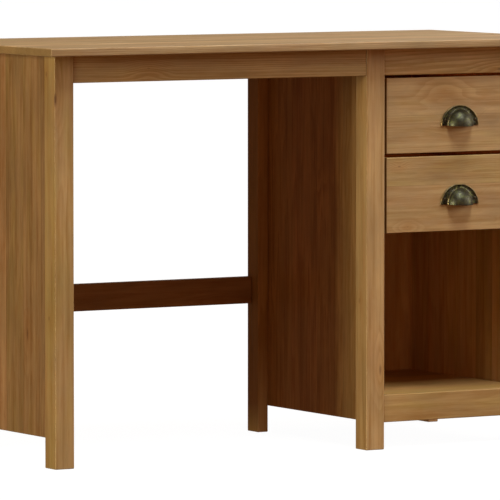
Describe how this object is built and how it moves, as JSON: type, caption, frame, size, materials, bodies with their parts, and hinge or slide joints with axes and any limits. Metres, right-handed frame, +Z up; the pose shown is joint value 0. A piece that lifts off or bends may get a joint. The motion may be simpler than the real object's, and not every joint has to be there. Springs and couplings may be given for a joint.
{
  "type": "writing desk with drawers",
  "caption": "Wooden writing desk: plain legs, open knee space with a rear stretcher, and a pedestal of sliding drawers with cup pulls over an open shelf.",
  "frame": {"origin": "on the floor, under the middle of the top", "axes": "+X along the width towards the pedestal, +Y from the sitter's side to the back, +Z up"},
  "size_m": [1.1, 0.5, 0.74],
  "materials": {
    "pine_top": "honey-brown stained pine under satin lacquer, long grain along the width",
    "pine_frame": "honey-brown stained pine under satin lacquer",
    "pine_panel": "edge-glued honey-brown stained pine, satin",
    "pine_drawer_front": "honey-brown stained pine under satin lacquer, grain along the width",
    "pine_inner": "plain planed pine, matt",
    "plywood": "thin plywood, stained on the visible face, matt",
    "antique_bronze": "antique bronze casting, mottled dark olive-brown with worn golden edges",
    "bronze_screw": "dark bronze plated screw",
    "zinc_screw": "zinc plated steel screw"
  },
  "bodies": {
    "carcass": {"apron_front_knee": "pine_frame", "apron_front_pedestal": "pine_frame", "apron_rear_knee": "pine_frame", "apron_rear_pedestal": "pine_frame", "back_panel": "plywood", "bottom_shelf": "pine_panel", "leg_front_left": "pine_frame", "leg_front_middle": "pine_frame", "leg_front_right": "pine_frame", "leg_rear_left": "pine_frame", "leg_rear_middle": "pine_frame", "leg_rear_right": "pine_frame", "rail_front_bottom": "pine_frame", "rail_rear_bottom": "pine_frame", "runner_lower_left": "pine_inner", "runner_lower_right": "pine_inner", "runner_screw_lower_left_front": "zinc_screw", "runner_screw_lower_left_rear": "zinc_screw", "runner_screw_lower_right_front": "zinc_screw", "runner_screw_lower_right_rear": "zinc_screw", "runner_screw_upper_left_front": "zinc_screw", "runner_screw_upper_left_rear": "zinc_screw", "runner_screw_upper_right_front": "zinc_screw", "runner_screw_upper_right_rear": "zinc_screw", "runner_upper_left": "pine_inner", "runner_upper_right": "pine_inner", "shelf_batten_left": "pine_inner", "shelf_batten_right": "pine_inner", "side_panel_left": "pine_panel", "side_panel_middle": "pine_panel", "side_panel_right": "pine_panel", "stretcher_rear": "pine_frame", "tabletop": "pine_top", "top_block_front_left": "pine_inner", "top_block_front_right": "pine_inner", "top_block_rear_left": "pine_inner", "top_block_rear_right": "pine_inner", "top_screw_front_left": "zinc_screw", "top_screw_front_right": "zinc_screw", "top_screw_rear_left": "zinc_screw", "top_screw_rear_right": "zinc_screw"},
    "drawer_upper": {"drawer_upper_back": "pine_inner", "drawer_upper_bottom": "plywood", "drawer_upper_front": "pine_drawer_front", "drawer_upper_pull": "antique_bronze", "drawer_upper_pull_screw_left": "bronze_screw", "drawer_upper_pull_screw_right": "bronze_screw", "drawer_upper_side_left": "pine_inner", "drawer_upper_side_right": "pine_inner"},
    "drawer_lower": {"drawer_lower_back": "pine_inner", "drawer_lower_bottom": "plywood", "drawer_lower_front": "pine_drawer_front", "drawer_lower_pull": "antique_bronze", "drawer_lower_pull_screw_left": "bronze_screw", "drawer_lower_pull_screw_right": "bronze_screw", "drawer_lower_side_left": "pine_inner", "drawer_lower_side_right": "pine_inner"}
  },
  "joints": [
    {"name": "drawer_upper_slide", "type": "slide", "parent": "carcass", "child": "drawer_upper", "axis": [0, -1, 0], "range_m": [0, 0.28]},
    {"name": "drawer_lower_slide", "type": "slide", "parent": "carcass", "child": "drawer_lower", "axis": [0, -1, 0], "range_m": [0, 0.28]}
  ]
}
